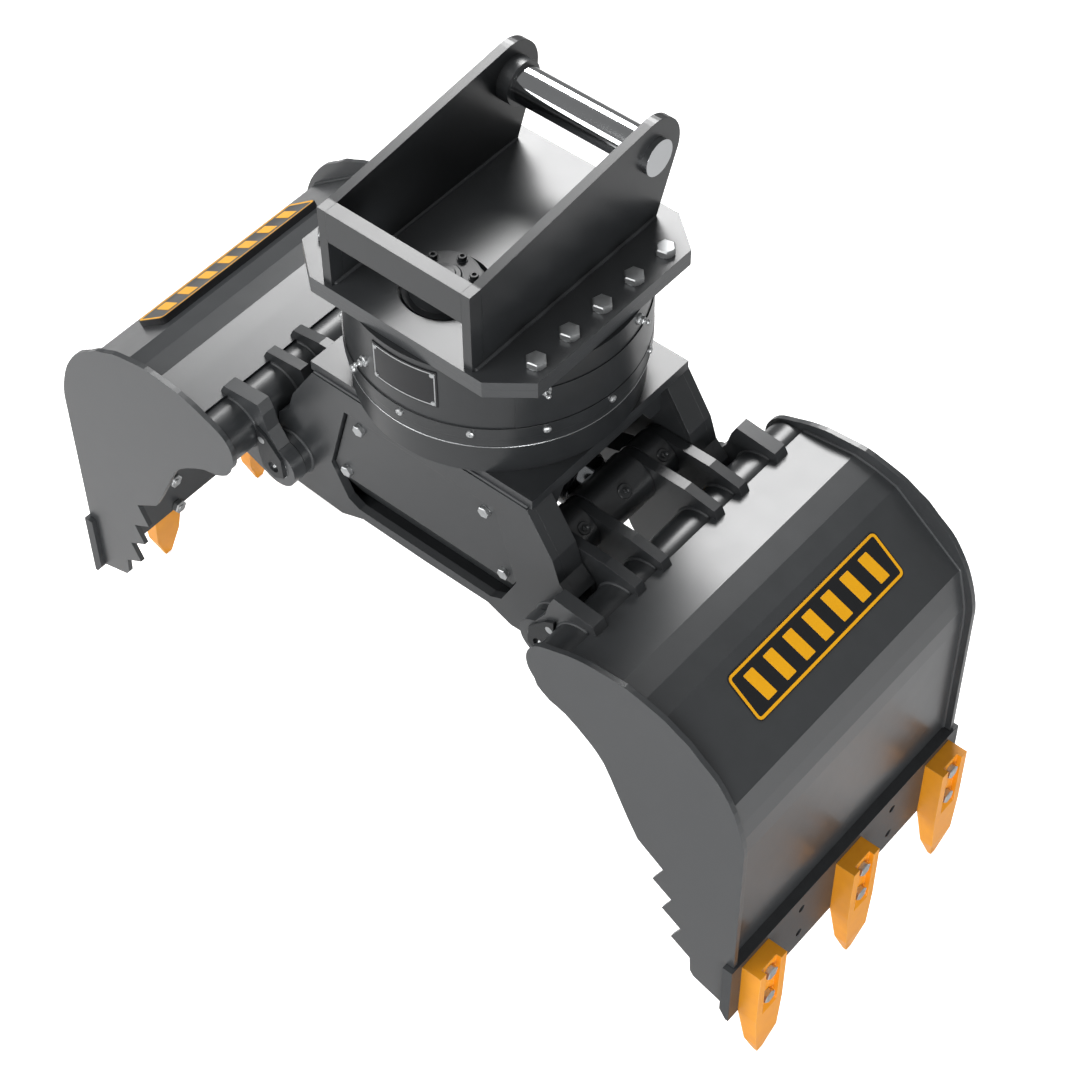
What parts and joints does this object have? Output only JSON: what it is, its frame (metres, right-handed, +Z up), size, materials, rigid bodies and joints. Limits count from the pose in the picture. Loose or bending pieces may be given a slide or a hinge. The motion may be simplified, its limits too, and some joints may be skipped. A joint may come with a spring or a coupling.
{
  "type": "sorting grapple",
  "caption": "Hydraulic sorting grapple for an excavator: pin-on bracket, slewing rotator, frame with a cross cylinder and sync links, and two clam shells with bolt-on teeth.",
  "frame": {"origin": "on the floor under the slewing axis, at the height of the tooth tips of the open grapple", "axes": "+Z up along the slewing axis, +X towards the shell that carries three teeth, Y along the shell pivots with the coupler pin on the +Y side"},
  "size_m": [2.0408, 0.826, 1.812],
  "materials": {
    "anthracite_paint": "satin anthracite powder coat",
    "black_paint": "satin black paint",
    "blade_steel": "painted wear steel",
    "tooth_paint": "orange-yellow paint on cast steel",
    "bright_steel": "ground steel",
    "chrome_rod": "hard chrome",
    "zinc_bolts": "bright zinc plate",
    "bronze_bush": "turned bronze",
    "plate_black": "black anodised plate"
  },
  "bodies": {
    "bracket": {"adapter_base_plate": "anthracite_paint", "left_cheek": "anthracite_paint", "right_cheek": "anthracite_paint", "front_cross_bar": "anthracite_paint", "coupler_pin": "bright_steel", "adapter_bolts": "zinc_bolts", "rotator_top_plate": "anthracite_paint", "slew_motor": "black_paint", "slew_motor_bolts": "black_paint", "rotator_housing": "anthracite_paint", "housing_wrap_cover": "anthracite_paint", "housing_screws": "zinc_bolts", "type_plate": "plate_black", "bearing_outer_race": "bright_steel", "bearing_balls": "bright_steel", "rotary_union_core": "bright_steel"},
    "pinion": {"drive_pinion": "bright_steel"},
    "frame": {"slew_ring_gear": "bright_steel", "frame_ring": "anthracite_paint", "rotary_union_sleeve": "black_paint", "frame_top_plate": "anthracite_paint", "front_frame_side": "anthracite_paint", "rear_frame_side": "anthracite_paint", "arm_inner_plates": "anthracite_paint", "arm_end_strips": "anthracite_paint", "frame_bottom_strips": "anthracite_paint", "frame_end_plates": "anthracite_paint", "frame_pivot_tubes": "anthracite_paint", "pivot_bushes": "bronze_bush", "front_cover": "anthracite_paint", "rear_cover": "anthracite_paint", "cover_bolts": "zinc_bolts"},
    "right_shell": {"right_side_plates": "anthracite_paint", "right_back_skin": "anthracite_paint", "right_blade": "blade_steel", "right_teeth": "tooth_paint", "right_tooth_bolts": "zinc_bolts", "right_torsion_tube": "anthracite_paint", "right_ears": "anthracite_paint", "right_ribs": "anthracite_paint", "right_pivot_pins": "bright_steel", "right_lock_plates": "black_paint", "right_cylinder_pin": "bright_steel"},
    "left_shell": {"left_side_plates": "anthracite_paint", "left_back_skin": "anthracite_paint", "left_blade": "blade_steel", "left_teeth": "tooth_paint", "left_tooth_bolts": "zinc_bolts", "left_torsion_tube": "anthracite_paint", "left_ears": "anthracite_paint", "left_ribs": "anthracite_paint", "left_pivot_pins": "bright_steel", "left_lock_plates": "black_paint", "left_cylinder_pin": "bright_steel", "left_link_pin": "bright_steel"},
    "barrel": {"cylinder_barrel": "anthracite_paint", "cylinder_gland": "chrome_rod"},
    "rod": {"cylinder_rod": "chrome_rod"},
    "front_link": {"front_sync_link": "anthracite_paint"},
    "rear_link": {"rear_sync_link": "anthracite_paint"}
  },
  "joints": [
    {"name": "slew", "type": "hinge", "parent": "bracket", "child": "frame", "pos_m": [0, 0, 1.33], "axis": [0, 0, 1], "continuous": true},
    {"name": "pinion_spin", "type": "hinge", "parent": "bracket", "child": "pinion", "pos_m": [0, -0.15, 1.34], "axis": [0, 0, 1], "continuous": true},
    {"name": "right_shell_close", "type": "hinge", "parent": "frame", "child": "right_shell", "pos_m": [0.372, 0, 0.915], "axis": [0, 1, 0], "range_deg": [0, 62]},
    {"name": "left_shell_close", "type": "hinge", "parent": "frame", "child": "left_shell", "pos_m": [-0.372, 0, 0.915], "axis": [0, -1, 0], "range_deg": [0, 62]},
    {"name": "barrel_pivot", "type": "hinge", "parent": "left_shell", "child": "barrel", "pos_m": [-0.29497, 0, 1.02708], "axis": [0, 1, 0], "range_deg": [0, 62]},
    {"name": "rod_pivot", "type": "hinge", "parent": "right_shell", "child": "rod", "pos_m": [0.29497, 0, 1.02708], "axis": [0, -1, 0], "range_deg": [0, 62]},
    {"name": "front_link_pivot", "type": "hinge", "parent": "right_shell", "child": "front_link", "pos_m": [0.29497, 0, 1.02708], "axis": [0, -1, 0], "range_deg": [0, 62]},
    {"name": "rear_link_pivot", "type": "hinge", "parent": "right_shell", "child": "rear_link", "pos_m": [0.29497, 0, 1.02708], "axis": [0, -1, 0], "range_deg": [0, 62]}
  ],
  "couplings": [
    {"joint": "pinion_spin", "follows": "slew", "ratio": 4},
    {"joint": "left_shell_close", "follows": "right_shell_close", "ratio": 1},
    {"joint": "barrel_pivot", "follows": "right_shell_close", "ratio": 1},
    {"joint": "rod_pivot", "follows": "right_shell_close", "ratio": 1},
    {"joint": "front_link_pivot", "follows": "right_shell_close", "ratio": 1},
    {"joint": "rear_link_pivot", "follows": "right_shell_close", "ratio": 1}
  ]
}
